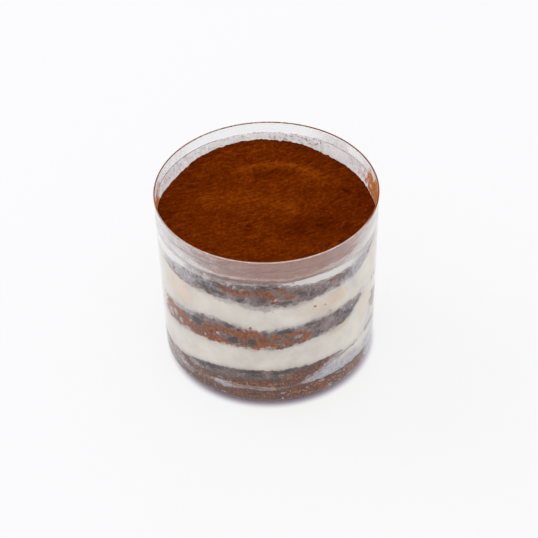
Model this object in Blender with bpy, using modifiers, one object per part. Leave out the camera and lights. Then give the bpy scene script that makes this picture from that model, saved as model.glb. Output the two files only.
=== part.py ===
"""Tiramisu in its clear plastic cup: four soaked sponge layers, cream between them, a dusting of cocoa.

Run it with blender --background --python part.py, or from the text editor. Metres, +Z up. The cup
stands on the origin with its axis on +Z. Azimuths are in degrees round that axis: 0 is the front,
which faces -Y, and +90 is the right-hand side, which faces +X.
"""

from dataclasses import dataclass
import math

import bmesh
import bpy
import numpy as np
from mathutils import Matrix, Vector

MM = 0.001

# The cup: thin injection-moulded clear plastic, straight sides with a slight draft.
RIM_RADIUS = 43.0 * MM
CUP_HEIGHT = 75.3 * MM
FOOT_SHARE = 0.966  # outer radius at the foot, as a share of the rim's
WALL = 0.8 * MM
FLOOR = 1.1 * MM
CORNER_RADIUS = 5.2 * MM  # outside, where the wall turns into the floor
CORNER_STEPS = 5
LEDGE_DROP = 4.8 * MM  # from the rim down to the step that a lid seats on
LEDGE_STEP = 0.25 * MM
LIP_STEPS = 4
RECESS_RADIUS = 30.0 * MM  # the underside is hollowed, so the cup stands on a ring
RECESS_DEPTH = 0.5 * MM
RECESS_SLOPE = 2.0 * MM

# The filling.
GAP = 0.3 * MM  # clear space between neighbouring solids
THINNEST = 0.5 * MM  # a layer that pinches out at the wall keeps this much
RIPPLE_HEIGHT = 0.35 * MM
RIPPLE_WAVES = 4
RIPPLE_LENGTHS = (22.0 * MM, 48.0 * MM)

TURN_STEPS = 48
LAYER_RINGS = 3
CROWN_RINGS = 7
RING_LEAN = math.radians(3.0)  # how far a disc's middle is turned against its edge
SMOOTH_ANGLE = math.radians(40)
MERGE_WITHIN = 0.01 * MM


@dataclass(frozen=True)
class Swell:
    """A stretch of a seam, at the wall, that stands above the rest, or below it if the height is negative."""

    azimuth: float
    half_width: float
    height: float


@dataclass(frozen=True)
class Seam:
    """The uneven surface between two layers: a tilted disc with swells round its edge. Heights in mm."""

    level: float
    tilt: float = 0.0
    toward: float = 0.0
    swells: tuple = ()


@dataclass(frozen=True)
class Layer:
    """One layer of the filling, with the seam on top of it. The layer below gives the seam under it."""

    name: str
    material: str
    top: Seam
    top_rings: int = LAYER_RINGS
    side_steps: int = 1


@dataclass(frozen=True)
class Mound:
    """A low round rise in the cocoa, in mm, or a hollow if the height is negative."""

    x: float
    y: float
    radius: float
    height: float


LAYERS = (
    Layer("sponge_1", "soaked_sponge",
          Seam(8.9, 0.4, 60, (Swell(38, 20, 0.9), Swell(-140, 40, 1.2))),
          side_steps=4),
    Layer("cream_1", "mascarpone_cream",
          Seam(10.3, 0.3, 60, (Swell(55, 24, 8.4), Swell(100, 22, 3.2), Swell(-170, 45, 2.4)))),
    Layer("sponge_2", "soaked_sponge",
          Seam(17.2, 3.2, 60, (Swell(-64, 15, -2.2), Swell(-18, 22, 1.3), Swell(98, 18, 3.4)))),
    Layer("cream_2", "mascarpone_cream",
          Seam(30.9, 2.9, 62,
               (Swell(0, 16, -1.2), Swell(62, 12, 7.2), Swell(88, 14, 6.4), Swell(-62, 14, -1.3)))),
    Layer("sponge_3", "soaked_sponge",
          Seam(41.0, 2.2, 60, (Swell(-30, 11, 2.6), Swell(2, 15, -1.6), Swell(-68, 14, -2.2)))),
    Layer("cream_3", "mascarpone_cream",
          Seam(55.2, 0.3, 120, (Swell(8, 20, -2.2), Swell(72, 11, 5.8), Swell(-68, 12, 1.2)))),
    Layer("sponge_4", "soaked_sponge",
          Seam(61.6, 0.2, 0, (Swell(-6, 15, 2.4), Swell(-68, 12, -2.4), Swell(130, 40, -1.6)))),
    Layer("cream_4", "mascarpone_cream",
          Seam(64.5, 0.0, 0, (Swell(180, 36, 1.4), Swell(116, 38, -2.4), Swell(-120, 13, -1.6)))),
    Layer("cocoa", "cocoa_powder",
          Seam(65.6, 0.0, 0, (Swell(180, 36, 1.6), Swell(116, 38, -2.6), Swell(-120, 13, -2.0))),
          top_rings=CROWN_RINGS),
)

COCOA_MOUNDS = (
    Mound(2, 2, 34, 1.6),
    Mound(10, 20, 15, 0.7),
    Mound(-2, 17, 9, -0.5),
    Mound(20, -14, 13, -0.5),
)

# Each material is its colour as sRGB, its roughness and how much light passes through it.
MATERIALS = {
    "clear_plastic": ("#eef0f3", 0.05, 1.0),
    "soaked_sponge": ("#7c5a48", 0.75, 0.0),
    "mascarpone_cream": ("#e4ddd2", 0.45, 0.0),
    "cocoa_powder": ("#632806", 0.95, 0.0),
}


def linear_colour(text):
    """An sRGB colour such as #rrggbb as linear red, green, blue and alpha."""
    shares = [int(text[i:i + 2], 16) / 255 for i in (1, 3, 5)]
    return [s / 12.92 if s <= 0.04045 else ((s + 0.055) / 1.055) ** 2.4 for s in shares] + [1.0]


def make_material(name):
    """The named material as a Principled shader."""
    text, roughness, transmission = MATERIALS[name]
    material = bpy.data.materials.new(name)
    material.use_nodes = True
    shader = material.node_tree.nodes["Principled BSDF"]
    shader.inputs["Base Color"].default_value = linear_colour(text)
    shader.inputs["Roughness"].default_value = roughness
    shader.inputs["Metallic"].default_value = 0.0
    shader.inputs["Transmission Weight"].default_value = transmission
    material.diffuse_color = linear_colour(text)
    return material


def outer_radius(z):
    """The cup's outer radius at a height on its straight side."""
    return RIM_RADIUS * (FOOT_SHARE + (1 - FOOT_SHARE) * z / CUP_HEIGHT)


def inner_radius(z):
    """The cup's inner radius at a height between its floor and the lid's step."""
    if z >= CORNER_RADIUS:
        return outer_radius(z) - WALL
    sunk = min(1.0, (CORNER_RADIUS - z) / (CORNER_RADIUS - FLOOR))
    return outer_radius(CORNER_RADIUS) - CORNER_RADIUS + (CORNER_RADIUS - WALL) * math.sqrt(1 - sunk**2)


def cup_profile():
    """Points (radius, height) from the floor's middle, up the inside, over the lip and down the outside."""
    quarter = [math.pi / 2 * step / CORNER_STEPS for step in range(CORNER_STEPS + 1)]
    centre = outer_radius(CORNER_RADIUS) - CORNER_RADIUS
    points = [(0.0, FLOOR)]
    for angle in quarter:
        across = (CORNER_RADIUS - WALL) * math.sin(angle)
        down = (CORNER_RADIUS - FLOOR) * math.cos(angle)
        points.append((centre + across, CORNER_RADIUS - down))
    ledge = CUP_HEIGHT - LEDGE_DROP
    points.append((inner_radius(ledge), ledge))
    points.append((inner_radius(ledge) + LEDGE_STEP, ledge + LEDGE_STEP))
    lip = (WALL - LEDGE_STEP) / 2
    for step in range(LIP_STEPS + 1):
        angle = math.pi * (1 - step / LIP_STEPS)
        points.append((RIM_RADIUS - lip + lip * math.cos(angle), CUP_HEIGHT - lip + lip * math.sin(angle)))
    for angle in reversed(quarter):
        across = CORNER_RADIUS * math.sin(angle)
        points.append((centre + across, CORNER_RADIUS - CORNER_RADIUS * math.cos(angle)))
    points.append((RECESS_RADIUS, 0.0))
    points.append((RECESS_RADIUS - RECESS_SLOPE, RECESS_DEPTH))
    points.append((0.0, RECESS_DEPTH))
    return points


def make_cup():
    """The cup, turned from its profile."""
    points = cup_profile()
    mesh = bpy.data.meshes.new("cup")
    edges = [(i, i + 1) for i in range(len(points) - 1)]
    mesh.from_pydata([(r, 0.0, z) for r, z in points], edges, [])
    cup = bpy.data.objects.new("cup", mesh)
    turn = cup.modifiers.new("turn", "SCREW")
    turn.axis = "Z"
    turn.angle = 2 * math.pi
    turn.steps = turn.render_steps = TURN_STEPS
    turn.use_merge_vertices = True
    turn.merge_threshold = MERGE_WITHIN
    turn.use_smooth_shade = True
    return cup


def ripple(seed, x, y):
    """A gentle unevenness, as a sum of plane waves with seeded directions and lengths."""
    draw = np.random.default_rng(seed)
    total = 0.0
    for _ in range(RIPPLE_WAVES):
        heading, phase = draw.uniform(0, 2 * math.pi, 2)
        length = draw.uniform(*RIPPLE_LENGTHS)
        along = x * math.cos(heading) + y * math.sin(heading)
        total += math.sin(2 * math.pi * along / length + phase)
    return RIPPLE_HEIGHT * total / math.sqrt(RIPPLE_WAVES)


def turn_between(a, b):
    """The smaller angle between two azimuths, in degrees."""
    return abs((a - b + 180) % 360 - 180)


def seam_height(seam, seed, share, azimuth):
    """The seam's height in metres, at a share of the way from the axis to the wall."""
    height = seam.level + seam.tilt * share * math.cos(math.radians(azimuth - seam.toward))
    for swell in seam.swells:
        away = turn_between(azimuth, swell.azimuth) / swell.half_width
        height += swell.height * share**2 / (1 + away**4)
    radius = share * RIM_RADIUS
    x = radius * math.sin(math.radians(azimuth))
    y = -radius * math.cos(math.radians(azimuth))
    return height * MM + ripple(seed, x, y)


def crown_height(share, azimuth):
    """How far the cocoa stands above its top seam: low mounds that die out at the wall."""
    radius = share * RIM_RADIUS / MM
    x = radius * math.sin(math.radians(azimuth))
    y = -radius * math.cos(math.radians(azimuth))
    total = 0.0
    for mound in COCOA_MOUNDS:
        away = math.hypot(x - mound.x, y - mound.y) / mound.radius
        total += mound.height * math.exp(-(away**2))
    return total * MM * (1 - share**4)


def layer_span(index, share, azimuth):
    """A layer's lowest and highest point on one vertical line, once each layer has kept its least depth."""
    below = FLOOR
    for seed, layer in enumerate(LAYERS[:index + 1]):
        bottom = below
        below = max(seam_height(layer.top, seed, share, azimuth), bottom + GAP + THINNEST)
    if index == len(LAYERS) - 1:
        return bottom + GAP / 2, below + crown_height(share, azimuth)
    first_gap = GAP if index == 0 else GAP / 2
    return bottom + first_gap, below - GAP / 2


def unit_disc(layer):
    """A disc of radius 1 and height 1, spun from its profile, with the layer's rings and side steps.

    Its rings lean round the axis. One diagonal of each quad is then the shorter one, and it is the same one
    above and below, so two layers that meet at a seam have matching faces.
    """
    outline = [(step / LAYER_RINGS, 0.0) for step in range(LAYER_RINGS + 1)]
    outline += [(1.0, step / layer.side_steps) for step in range(1, layer.side_steps)]
    outline += [(step / layer.top_rings, 1.0) for step in range(layer.top_rings, -1, -1)]

    work = bmesh.new()
    points = [work.verts.new((share, 0.0, level)) for share, level in outline]
    edges = [work.edges.new(pair) for pair in zip(points, points[1:])]
    bmesh.ops.spin(work, geom=points + edges, cent=(0, 0, 0), axis=(0, 0, 1),
                   angle=2 * math.pi, steps=TURN_STEPS, use_merge=True)
    bmesh.ops.remove_doubles(work, verts=work.verts, dist=MERGE_WITHIN)
    for point in work.verts:
        lean = RING_LEAN * (1 - math.hypot(point.co.x, point.co.y))
        point.co.rotate(Matrix.Rotation(lean, 3, "Z"))
    bmesh.ops.triangulate(work, faces=work.faces, quad_method="SHORT_EDGE")
    return work


def make_layer(index):
    """One layer: a unit disc with each point moved to the layer's real place."""
    layer = LAYERS[index]
    work = unit_disc(layer)
    for point in work.verts:
        share = min(1.0, math.hypot(point.co.x, point.co.y))
        azimuth = math.degrees(math.atan2(point.co.x, -point.co.y))
        bottom, top = layer_span(index, share, azimuth)
        height = bottom + (top - bottom) * point.co.z
        radius = share * (inner_radius(height) - GAP)
        turn = math.radians(azimuth)
        point.co = Vector((radius * math.sin(turn), -radius * math.cos(turn), height))
    bmesh.ops.recalc_face_normals(work, faces=work.faces)

    mesh = bpy.data.meshes.new(layer.name)
    work.to_mesh(mesh)
    work.free()
    mesh.shade_smooth()
    mesh.set_sharp_from_angle(angle=SMOOTH_ANGLE)
    return bpy.data.objects.new(layer.name, mesh)


def main():
    """Clears the scene and builds the cup and its filling."""
    for old in list(bpy.data.objects):
        bpy.data.objects.remove(old, do_unlink=True)
    collection = bpy.data.collections.new("tiramisu")
    bpy.context.scene.collection.children.link(collection)
    materials = {name: make_material(name) for name in MATERIALS}

    cup = make_cup()
    cup.data.materials.append(materials["clear_plastic"])
    collection.objects.link(cup)
    for index, layer in enumerate(LAYERS):
        filling = make_layer(index)
        filling.data.materials.append(materials[layer.material])
        filling.parent = cup
        collection.objects.link(filling)


main()
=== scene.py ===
"""Tiramisu in a clear plastic cup: the looks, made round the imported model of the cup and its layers.

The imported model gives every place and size: the cup's box, and the surfaces between the layers. This
script refines them. Lengths are in metres unless a name says mm, and azimuths are degrees round the
cup's axis, 0 at the front (-Y) and +90 at the right (+X).
"""

import logging
import math
from dataclasses import dataclass, replace
from enum import Enum
from typing import Any, Optional

import bpy
import numpy as np
from mathutils import Matrix, Vector, noise
from mathutils.bvhtree import BVHTree

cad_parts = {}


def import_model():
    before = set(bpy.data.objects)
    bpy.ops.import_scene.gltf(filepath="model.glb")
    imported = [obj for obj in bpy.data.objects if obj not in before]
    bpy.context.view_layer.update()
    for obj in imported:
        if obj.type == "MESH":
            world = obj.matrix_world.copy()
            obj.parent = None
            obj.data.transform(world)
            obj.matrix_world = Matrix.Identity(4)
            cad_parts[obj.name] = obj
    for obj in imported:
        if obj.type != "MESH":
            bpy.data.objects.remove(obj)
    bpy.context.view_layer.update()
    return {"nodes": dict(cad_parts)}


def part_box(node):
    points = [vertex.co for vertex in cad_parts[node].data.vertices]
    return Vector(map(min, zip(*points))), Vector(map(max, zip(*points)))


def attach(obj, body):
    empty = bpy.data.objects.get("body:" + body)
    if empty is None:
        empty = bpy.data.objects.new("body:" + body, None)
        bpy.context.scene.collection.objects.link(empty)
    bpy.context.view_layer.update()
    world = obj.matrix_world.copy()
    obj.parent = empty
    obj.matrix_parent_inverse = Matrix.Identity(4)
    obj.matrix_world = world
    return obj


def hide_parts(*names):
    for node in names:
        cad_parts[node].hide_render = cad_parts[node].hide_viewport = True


MM = 0.001
BODY = "root"

log = logging.getLogger("tiramisu")


class Slot(Enum):
    """The kinds of finish: plastic, sponge, cream and cocoa."""

    PLASTIC = "clear_plastic"
    SPONGE = "soaked_sponge"
    CREAM = "mascarpone_cream"
    COCOA = "cocoa_powder"


class Mask(Enum):
    """The attributes that tell a layer's material where its wall is wet, misted, painted dark as the shade in a
    hollow, and so on.
    """

    WET = "wet"
    MIST = "mist"
    # painted shade: dark spots where air pockets in the crumb would lie in shade
    HOLLOW_SHADE = "hollow"
    SMEAR = "smear"
    STAIN = "stain"
    SOAK = "soak"
    EDGE = "edge"
    WARM = "warm"
    DUST = "dust"
    FLECK = "fleck"
    # painted light and shade on the cocoa's drifts
    CREST_LIGHT = "crest_light"


class Level(Enum):
    """What a blotch's height is measured from."""

    FLOOR = "the surface that the cup stands on"
    UNDERSIDE = "the layer's underside"
    TOP = "the layer's top"


# ---------------------------------------------------------------- small helpers


def linear(text: str) -> tuple[float, float, float, float]:
    """An sRGB colour as linear numbers.

    Args:
        text: The colour, such as #rrggbb.

    Returns:
        Red, green, blue and alpha.
    """
    shares = [int(text[i:i + 2], 16) / 255 for i in (1, 3, 5)]
    red, green, blue = (s / 12.92 if s <= 0.04045 else ((s + 0.055) / 1.055) ** 2.4 for s in shares)
    return red, green, blue, 1.0


def add(tree: bpy.types.NodeTree, kind: str, inputs: Optional[dict] = None, **settings: Any) -> bpy.types.Node:
    """Adds a node with its settings and links.

    Args:
        tree: The node tree.
        kind: The node's type.
        inputs: What each input takes, by name or number: a value, or another node's output.
        **settings: The node's own settings.

    Returns:
        The node.
    """
    node = tree.nodes.new(kind)
    for name, value in settings.items():
        setattr(node, name, value)
    for key, value in (inputs or {}).items():
        if isinstance(value, bpy.types.NodeSocket):
            tree.links.new(value, node.inputs[key])
        else:
            node.inputs[key].default_value = value
    return node


def noise_at(points: np.ndarray, size: float, octaves: int = 3, seed: int = 0) -> np.ndarray:
    """Smooth seeded noise from about -1 to 1.

    Args:
        points: N points.
        size: The size of the noise's largest features, in metres.
        octaves: How many finer layers it has.
        seed: Which noise it is.

    Returns:
        One value a point.
    """
    shift = np.array([17.3, -9.1, 5.7]) * (seed + 1)
    scaled = points / size + shift
    return np.array([noise.fractal(p, 1.0, 2.0, octaves) for p in scaled.tolist()])


def smooth(low: float, high: float, value: np.ndarray) -> np.ndarray:
    """Goes from 0 to 1 with soft ends as value goes from low to high."""
    t = np.clip((value - low) / (high - low), 0, 1)
    return t * t * (3 - 2 * t)


def around(azimuth: np.ndarray, radius: np.ndarray, height: np.ndarray) -> np.ndarray:
    """Points from azimuths in degrees, radii and heights."""
    turn = np.radians(azimuth)
    return np.stack([radius * np.sin(turn), -radius * np.cos(turn), height + 0 * turn], axis=-1)


def make_piece(name: str, points: np.ndarray, faces: list, material: bpy.types.Material,
               masks: Optional[dict[Mask, np.ndarray]] = None) -> bpy.types.Object:
    """Makes a smooth-shaded mesh object in the scene.

    Args:
        name: The piece's name.
        points: Its vertices.
        faces: Its faces, as lists of vertex numbers.
        material: Its material.
        masks: Values for its material, one a vertex.

    Returns:
        The object.
    """
    mesh = bpy.data.meshes.new(name)
    mesh.from_pydata(points.tolist(), [], faces)
    for mask, values in (masks or {}).items():
        mesh.attributes.new(mask.value, "FLOAT", "POINT").data.foreach_set("value", values.astype(np.float32))
    mesh.shade_smooth()
    mesh.materials.append(material)
    piece = bpy.data.objects.new(name, mesh)
    bpy.context.scene.collection.objects.link(piece)
    return piece


def fit(piece: bpy.types.Object, slot: Slot, *nodes: str) -> None:
    """Ties a finished piece to the frame and reports it.

    Args:
        piece: The piece.
        slot: Not used.
        *nodes: The solids that it stands for.
    """
    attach(piece, BODY)
    if nodes:
        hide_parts(*nodes)
    log.info("%s: %d faces", piece.name, len(piece.data.polygons))


def ring_faces(lower: int, upper: int, columns: int) -> list[list[int]]:
    """The quads between two rings of vertices, facing away from the axis if upper is higher.

    Args:
        lower: The first vertex of one ring.
        upper: The first vertex of the other.
        columns: How many vertices each has.

    Returns:
        The faces.
    """
    return [[lower + i, lower + (i + 1) % columns, upper + (i + 1) % columns, upper + i] for i in range(columns)]


# ---------------------------------------------------------------- the cup's form


@dataclass(frozen=True)
class CupForm:
    """The cup's sizes. The rim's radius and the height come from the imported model."""

    rim_radius: float
    height: float
    foot_share: float = 0.966
    wall: float = 0.8 * MM
    floor: float = 1.1 * MM
    corner: float = 5.2 * MM
    ledge_drop: float = 4.8 * MM
    ledge_step: float = 0.25 * MM
    ledge_rise: float = 0.04 * MM
    recess_radius: float = 30.0 * MM
    recess_depth: float = 0.5 * MM
    recess_slope: float = 2.0 * MM
    shrink: float = 0.01 * MM  # room for what lies on the lip

    def outer(self, z: np.ndarray) -> np.ndarray:
        """The outer radius at heights on the straight side."""
        return self.rim_radius * (self.foot_share + (1 - self.foot_share) * np.asarray(z) / self.height)

    def inner(self, z: np.ndarray) -> np.ndarray:
        """The inner radius at heights between the floor and the lid's step."""
        z = np.asarray(z, float)
        sunk = np.clip((self.corner - z) / (self.corner - self.floor), 0, 1)
        curved = self.outer(self.corner) - self.corner + (self.corner - self.wall) * np.sqrt(1 - sunk**2)
        return np.where(z >= self.corner, self.outer(z) - self.wall, curved)

    def bare(self, z: np.ndarray) -> np.ndarray:
        """The inner radius at heights above the filling, up to the lip."""
        widened = np.clip((np.asarray(z) - self.ledge) / self.ledge_rise, 0, 1) * self.ledge_step
        return self.outer(z) - self.wall + widened

    @property
    def ledge(self) -> float:
        """The height of the step that a lid seats on."""
        return self.height - self.ledge_drop


# ---------------------------------------------------------------- materials


@dataclass(frozen=True)
class ClearPlastic:
    """Injection-moulded clear polystyrene: hard, glossy, with the faint waviness of a thin moulding."""

    tint: str = "#fbfcfd"
    roughness: float = 0.035
    ior: float = 1.53
    wave_mm: float = 9.0

    def build(self) -> bpy.types.Material:
        """Makes the material."""
        material = bpy.data.materials.new("moulded_clear_polystyrene")
        material.use_nodes = True
        tree = material.node_tree
        shader = tree.nodes["Principled BSDF"]
        shader.inputs["Base Color"].default_value = linear(self.tint)
        shader.inputs["Roughness"].default_value = self.roughness
        shader.inputs["IOR"].default_value = self.ior
        shader.inputs["Transmission Weight"].default_value = 1.0
        place = add(tree, "ShaderNodeTexCoord")
        waves = add(tree, "ShaderNodeTexNoise", {"Vector": place.outputs["Object"],
                                                 "Scale": 1 / (self.wave_mm * MM), "Detail": 1.0})
        bump = add(tree, "ShaderNodeBump", {"Height": waves.outputs["Fac"], "Strength": 0.08,
                                            "Distance": 0.2 * MM})
        tree.links.new(bump.outputs["Normal"], shader.inputs["Normal"])
        return material


@dataclass(frozen=True)
class Coat:
    """Something that covers part of a food where it meets the wall."""

    mask: Mask
    dark: str
    light: str
    fray: float = 0.8  # how strongly the grain frays its outline
    cover: float = 1.0
    soft: float = 0.2  # how gradually it sets in, 0.5 at most


@dataclass(frozen=True)
class Food:
    """Soft food seen through the cup: three tones by its crumb, then the coats, then open pores painted dark as the
    shade in the crumb's holes.
    """

    name: str
    slot: Slot
    dark: str
    middle: str
    light: str
    pore_shade: str
    coats: tuple[Coat, ...]
    broad_mm: float
    crumb_mm: float
    grain_mm: float
    pore_mm: float
    pore_share: float
    roughness: float
    bump_mm: float
    gloss: float = 0.5
    bubble_mm: float = 1.1
    bubble_glint_share: float = 0.0  # air bubbles where it wets the wall, painted pale as a glint of light on them

    def build(self) -> bpy.types.Material:
        """Makes the material."""
        material = bpy.data.materials.new(self.name)
        material.use_nodes = True
        tree = material.node_tree
        shader = tree.nodes["Principled BSDF"]
        place = add(tree, "ShaderNodeTexCoord").outputs["Object"]
        crumb = add(tree, "ShaderNodeTexNoise", {"Vector": place, "Scale": 0.5 / (self.crumb_mm * MM),
                                                 "Detail": 4.0, "Roughness": 0.62})
        grain = add(tree, "ShaderNodeTexNoise", {"Vector": place, "Scale": 0.5 / (self.grain_mm * MM),
                                                 "Detail": 2.0})
        broad = add(tree, "ShaderNodeTexNoise", {"Vector": place, "Scale": 0.5 / (self.broad_mm * MM),
                                                 "Detail": 1.0})
        tone = add(tree, "ShaderNodeMath", {0: crumb.outputs["Fac"], 1: broad.outputs["Fac"]}, operation="ADD")
        low = add(tree, "ShaderNodeMapRange", {"Value": tone.outputs[0], "From Min": 0.76,
                                               "From Max": 1.0}, interpolation_type="SMOOTHSTEP")
        high = add(tree, "ShaderNodeMapRange", {"Value": tone.outputs[0], "From Min": 1.0,
                                                "From Max": 1.25}, interpolation_type="SMOOTHSTEP")
        colour = add(tree, "ShaderNodeMix", {"Factor": low.outputs["Result"], "A": linear(self.dark),
                                             "B": linear(self.middle)}, data_type="RGBA").outputs["Result"]
        colour = add(tree, "ShaderNodeMix", {"Factor": high.outputs["Result"], "A": colour,
                                             "B": linear(self.light)}, data_type="RGBA").outputs["Result"]
        both = add(tree, "ShaderNodeMath", {0: grain.outputs["Fac"], 1: crumb.outputs["Fac"]}, operation="ADD")
        frayed = add(tree, "ShaderNodeMath", {0: both.outputs[0], 1: 1.0}, operation="SUBTRACT")
        vivid = add(tree, "ShaderNodeMapRange", {"Value": both.outputs[0], "From Min": 0.8, "From Max": 1.2})
        # painted shade in the open pores of the crumb
        holes = add(tree, "ShaderNodeTexVoronoi", {"Vector": place, "Scale": 1 / (self.pore_mm * MM)})
        pore_shade_mix = add(tree, "ShaderNodeMapRange", {"Value": holes.outputs["Distance"], "From Min": 0.42,
                                                      "From Max": 0.12, "To Max": self.pore_share})
        # painted glints: pale specks where air bubbles at the wall would catch the light
        froth = add(tree, "ShaderNodeTexVoronoi", {"Vector": place, "Scale": 1 / (self.bubble_mm * MM)})
        bubble_glints = add(tree, "ShaderNodeMapRange", {"Value": froth.outputs["Distance"], "From Min": 0.36,
                                                   "From Max": 0.2, "To Max": self.bubble_glint_share})
        for coat in self.coats:
            mask = add(tree, "ShaderNodeAttribute", attribute_name=coat.mask.value).outputs["Fac"]
            edge = add(tree, "ShaderNodeMath", {0: frayed.outputs[0], 1: coat.fray, 2: mask},
                       operation="MULTIPLY_ADD")
            share = add(tree, "ShaderNodeMapRange", {"Value": edge.outputs[0], "From Min": 0.5 - coat.soft,
                                                     "From Max": 0.5 + coat.soft, "To Max": coat.cover},
                        interpolation_type="SMOOTHSTEP")
            paint = add(tree, "ShaderNodeMix", {"Factor": vivid.outputs["Result"], "A": linear(coat.dark),
                                                "B": linear(coat.light)}, data_type="RGBA")
            colour = add(tree, "ShaderNodeMix", {"Factor": share.outputs["Result"], "A": colour,
                                                 "B": paint.outputs["Result"]},
                         data_type="RGBA").outputs["Result"]
            if coat.mask is Mask.WET and self.pore_share:
                colour = add(tree, "ShaderNodeMix", {"Factor": pore_shade_mix.outputs["Result"], "A": colour,
                                                     "B": linear(self.pore_shade)},
                             data_type="RGBA").outputs["Result"]
            if coat.mask is Mask.WET and self.bubble_glint_share:
                caught = add(tree, "ShaderNodeMath", {0: bubble_glints.outputs["Result"], 1: share.outputs["Result"]},
                             operation="MULTIPLY")
                colour = add(tree, "ShaderNodeMix", {"Factor": caught.outputs[0], "A": colour,
                                                     "B": linear("#cfc8cb")},
                             data_type="RGBA").outputs["Result"]
        tree.links.new(colour, shader.inputs["Base Color"])
        shader.inputs["Roughness"].default_value = self.roughness
        shader.inputs["Specular IOR Level"].default_value = self.gloss
        bump = add(tree, "ShaderNodeBump", {"Height": crumb.outputs["Fac"], "Strength": 0.7,
                                            "Distance": self.bump_mm * MM})
        tree.links.new(bump.outputs["Normal"], shader.inputs["Normal"])
        return material


# Savoiardi soaked in coffee: grey-mauve crumb where mist veils it, orange-brown where it wets the wall
SPONGE = Food("coffee_soaked_sponge", Slot.SPONGE, "#624f4e", "#978482", "#b5a4a2", "#463231", (
    Coat(Mask.SOAK, "#6e4431", "#a37256", 0.7, 0.9, 0.3),
    Coat(Mask.WET, "#6a2200", "#d27a1e", 1.25),
    Coat(Mask.MIST, "#b4b0b8", "#dedbe0", 0.75, 0.9, 0.36),
    # painted shade of the crumb's air pockets, with no pit in the mesh
    Coat(Mask.HOLLOW_SHADE, "#2e262c", "#5a535c", 0.8, 0.95),
    Coat(Mask.SMEAR, "#e6e0da", "#f2eee8", 0.6, 1.0, 0.36),
), broad_mm=2.6, crumb_mm=0.6, grain_mm=0.25, pore_mm=1.6, pore_share=0.45, roughness=0.55, bump_mm=0.35,
   gloss=0.3)

# The lower sponge, which most of the coffee has sunk into
DEEP_SPONGE = replace(SPONGE, name="deeply_soaked_sponge", dark="#54403d", middle="#87726f", light="#a8948f", coats=(
    Coat(Mask.SOAK, "#5e3726", "#94614a", 0.7, 0.95, 0.3),
    Coat(Mask.WET, "#5c1c00", "#c06a1c", 1.25),
    *SPONGE.coats[2:],
), bubble_glint_share=0.65)

# Whipped mascarpone pressed smooth against the wall, with coffee stains and crumbs drawn into it
CREAM = Food("whipped_mascarpone", Slot.CREAM, "#e6e1da", "#efeae3", "#f6f1ea", "#e4dfd8", (
    Coat(Mask.EDGE, "#9f8c85", "#cdbfb7", 0.5, 0.6, 0.36),
    Coat(Mask.SMEAR, "#fdfbf8", "#fffefc", 0.3, 1.0, 0.3),
    Coat(Mask.STAIN, "#ead0ad", "#f3e0ca", 0.25, 0.8, 0.45),
    Coat(Mask.SOAK, "#7c5443", "#b18468", 0.8, 1.0, 0.3),
    Coat(Mask.WARM, "#9a7a70", "#cbaea3", 0.8, 1.0, 0.3),
    Coat(Mask.WET, "#85491f", "#c08450", 1.0),
    Coat(Mask.MIST, "#bab4be", "#e2dfe5", 0.6, 0.9, 0.4),
), broad_mm=5.0, crumb_mm=2.2, grain_mm=0.5, pore_mm=3.0, pore_share=0.0, roughness=0.4, bump_mm=0.25)


@dataclass(frozen=True)
class CocoaPowder:
    """Sifted cocoa: dead matt and deep brown, painted lighter on the crests of its little drifts and darker in their
    dips, as light and shade would fall on them.
    """

    dark: str = "#561c01"
    middle: str = "#6f2a02"
    light: str = "#964609"
    veiled: str = "#bfa29a"
    pale_veil: str = "#f7f3f3"
    clump_mm: float = 0.65
    grain_mm: float = 0.22

    def build(self) -> bpy.types.Material:
        """Makes the material."""
        material = bpy.data.materials.new("sifted_cocoa")
        material.use_nodes = True
        tree = material.node_tree
        shader = tree.nodes["Principled BSDF"]
        place = add(tree, "ShaderNodeTexCoord").outputs["Object"]
        clump = add(tree, "ShaderNodeTexNoise", {"Vector": place, "Scale": 0.5 / (self.clump_mm * MM),
                                                 "Detail": 5.0, "Roughness": 0.7})
        grain = add(tree, "ShaderNodeTexNoise", {"Vector": place, "Scale": 0.5 / (self.grain_mm * MM),
                                                 "Detail": 2.0})
        # painted light: the crests of the drifts are coloured lighter, their dips darker
        crest_light = add(tree, "ShaderNodeAttribute", attribute_name=Mask.CREST_LIGHT.value).outputs["Fac"]
        rise = add(tree, "ShaderNodeMath", {0: clump.outputs["Fac"], 1: 1.45, 2: crest_light},
                   operation="MULTIPLY_ADD")
        low = add(tree, "ShaderNodeMapRange", {"Value": rise.outputs[0], "From Min": 0.42, "From Max": 0.75})
        high = add(tree, "ShaderNodeMapRange", {"Value": rise.outputs[0], "From Min": 0.75, "From Max": 1.25})
        colour = add(tree, "ShaderNodeMix", {"Factor": low.outputs["Result"], "A": linear(self.dark),
                                             "B": linear(self.middle)}, data_type="RGBA")
        colour = add(tree, "ShaderNodeMix", {"Factor": high.outputs["Result"], "A": colour.outputs["Result"],
                                             "B": linear(self.light)}, data_type="RGBA")
        veil = add(tree, "ShaderNodeAttribute", attribute_name=Mask.MIST.value).outputs["Fac"]
        warm = add(tree, "ShaderNodeAttribute", attribute_name=Mask.WARM.value).outputs["Fac"]
        film = add(tree, "ShaderNodeMix", {"Factor": warm, "A": linear(self.pale_veil),
                                           "B": linear(self.veiled)}, data_type="RGBA")
        colour = add(tree, "ShaderNodeMix", {"Factor": veil, "A": colour.outputs["Result"],
                                             "B": film.outputs["Result"]}, data_type="RGBA")
        tree.links.new(colour.outputs["Result"], shader.inputs["Base Color"])
        shader.inputs["Roughness"].default_value = 1.0
        shader.inputs["Specular IOR Level"].default_value = 0.0
        bump = add(tree, "ShaderNodeBump", {"Height": grain.outputs["Fac"], "Strength": 0.8,
                                            "Distance": 0.2 * MM})
        tree.links.new(bump.outputs["Normal"], shader.inputs["Normal"])
        return material


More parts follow.
